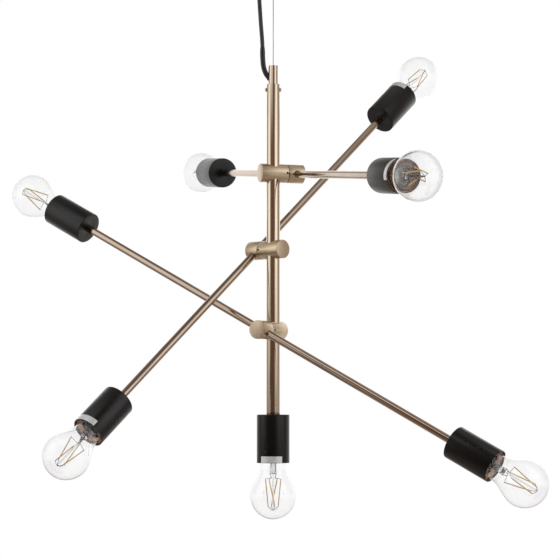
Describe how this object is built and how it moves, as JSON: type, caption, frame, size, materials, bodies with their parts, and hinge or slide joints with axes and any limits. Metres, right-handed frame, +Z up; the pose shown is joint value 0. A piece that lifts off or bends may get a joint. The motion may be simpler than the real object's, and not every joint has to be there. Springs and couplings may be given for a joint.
{
  "type": "ceiling light",
  "caption": "Pendant ceiling light: an upright stem on a steel wire, with tilting arms that carry a lamp at both ends and one lamp below.",
  "frame": {"origin": "centre of the ceiling bracket's upper face, in the plane of the ceiling, on the stem's axis", "axes": "+Z up along the stem's axis, into the ceiling; -Y is the side seen in the picture; +X to its right"},
  "size_m": [0.7043, 0.8464, 0.7325],
  "materials": {
    "antique_brass": "brushed antique brass",
    "dark_brass": "satin dark brass",
    "black_shell": "satin black powder coat",
    "black_insulator": "matt moulded phenolic",
    "contact_brass": "bare rolled brass",
    "nickel_cap": "nickel plated, rolled",
    "black_cable": "smooth flexible jacket",
    "black_steel": "black oxide",
    "steel": "zinc plated",
    "white_plastic": "moulded",
    "clear_glass": "clear blown glass",
    "filament_mount": "amber coated strips on a glass stem"
  },
  "bodies": {
    "stem": {"ceiling_bracket": "steel", "terminal_block": "white_plastic", "canopy": "antique_brass", "canopy_screws": "antique_brass", "canopy_nuts": "steel", "wire_gripper": "steel", "cable_gland": "black_cable", "suspension_wire": "steel", "supply_cable": "black_cable", "cable_sleeve": "black_cable", "coupler_tube": "dark_brass", "wire_stop": "steel", "coupler_screws": "steel", "stem_tube": "antique_brass", "stem_end_bush": "dark_brass", "hub_1_body": "antique_brass", "hub_2_body": "antique_brass", "hub_3_body": "antique_brass", "hub_washers": "black_steel", "hub_grub_screws": "black_steel", "lamp_7_shell": "black_shell", "lamp_7_glass": "clear_glass", "stem_holder_insert": "black_insulator", "stem_socket_contacts": "contact_brass", "stem_lamp_cap": "nickel_cap", "stem_filaments": "filament_mount"},
    "arm_1": {"hub_1_head": "antique_brass", "hub_1_pivot": "dark_brass", "arm_1_tube": "antique_brass", "lamp_1_shell": "black_shell", "lamp_2_shell": "black_shell", "lamp_1_glass": "clear_glass", "lamp_2_glass": "clear_glass", "arm_1_holder_inserts": "black_insulator", "arm_1_socket_contacts": "contact_brass", "arm_1_lamp_caps": "nickel_cap", "arm_1_filaments": "filament_mount"},
    "arm_2": {"hub_2_head": "antique_brass", "hub_2_pivot": "dark_brass", "arm_2_tube": "antique_brass", "lamp_3_shell": "black_shell", "lamp_4_shell": "black_shell", "lamp_3_glass": "clear_glass", "lamp_4_glass": "clear_glass", "arm_2_holder_inserts": "black_insulator", "arm_2_socket_contacts": "contact_brass", "arm_2_lamp_caps": "nickel_cap", "arm_2_filaments": "filament_mount"},
    "arm_3": {"hub_3_head": "antique_brass", "hub_3_pivot": "dark_brass", "arm_3_tube": "antique_brass", "lamp_5_shell": "black_shell", "lamp_6_shell": "black_shell", "lamp_5_glass": "clear_glass", "lamp_6_glass": "clear_glass", "arm_3_holder_inserts": "black_insulator", "arm_3_socket_contacts": "contact_brass", "arm_3_lamp_caps": "nickel_cap", "arm_3_filaments": "filament_mount"}
  },
  "joints": [
    {"name": "arm_1_tilt", "type": "hinge", "parent": "stem", "child": "arm_1", "pos_m": [0, 0, -0.2755], "axis": [0.9426, 0.3338, 0], "range_deg": [-36, 24]},
    {"name": "arm_2_tilt", "type": "hinge", "parent": "stem", "child": "arm_2", "pos_m": [0, 0, -0.377], "axis": [-0.7009, 0.7133, 0], "range_deg": [-5.5, 84.5]},
    {"name": "arm_3_tilt", "type": "hinge", "parent": "stem", "child": "arm_3", "pos_m": [0, 0, -0.484], "axis": [-0.5, -0.866, 0], "range_deg": [-17.5, 72.5]}
  ]
}
